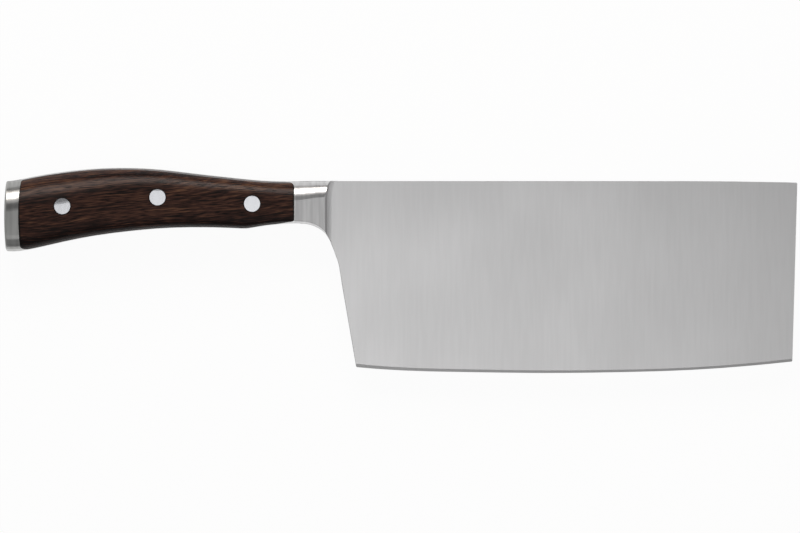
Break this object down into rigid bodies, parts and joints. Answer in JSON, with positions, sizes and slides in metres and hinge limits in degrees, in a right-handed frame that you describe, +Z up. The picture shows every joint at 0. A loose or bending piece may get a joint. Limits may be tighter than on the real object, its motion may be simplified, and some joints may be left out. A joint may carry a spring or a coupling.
{
  "type": "chinese cleaver",
  "caption": "Broad rectangular kitchen blade forged with a bolster and full tang, with dark wood scales, flush rivets and a steel butt cap.",
  "frame": {"origin": "under the middle of the whole outline, on the surface that the left cheek lies on", "axes": "+X along the blade to the tip, +Y from the edge to the back, +Z up through the thickness, out of the right cheek"},
  "size_m": [0.3234, 0.0838, 0.0186],
  "materials": {
    "blade_steel": "satin, finely ground from back to edge",
    "cap_steel": "fine satin with polished shoulders",
    "dark_wood": "dense near-black hardwood, oiled, fine brown streaks",
    "rivet_steel": "polished, ground flush with the wood"
  },
  "bodies": {
    "root": {"blade": "blade_steel", "butt_cap": "cap_steel", "right_scale": "dark_wood", "left_scale": "dark_wood", "rear_rivet_female": "rivet_steel", "rear_rivet_male": "rivet_steel", "middle_rivet_female": "rivet_steel", "middle_rivet_male": "rivet_steel", "front_rivet_female": "rivet_steel", "front_rivet_male": "rivet_steel"}
  },
  "joints": []
}
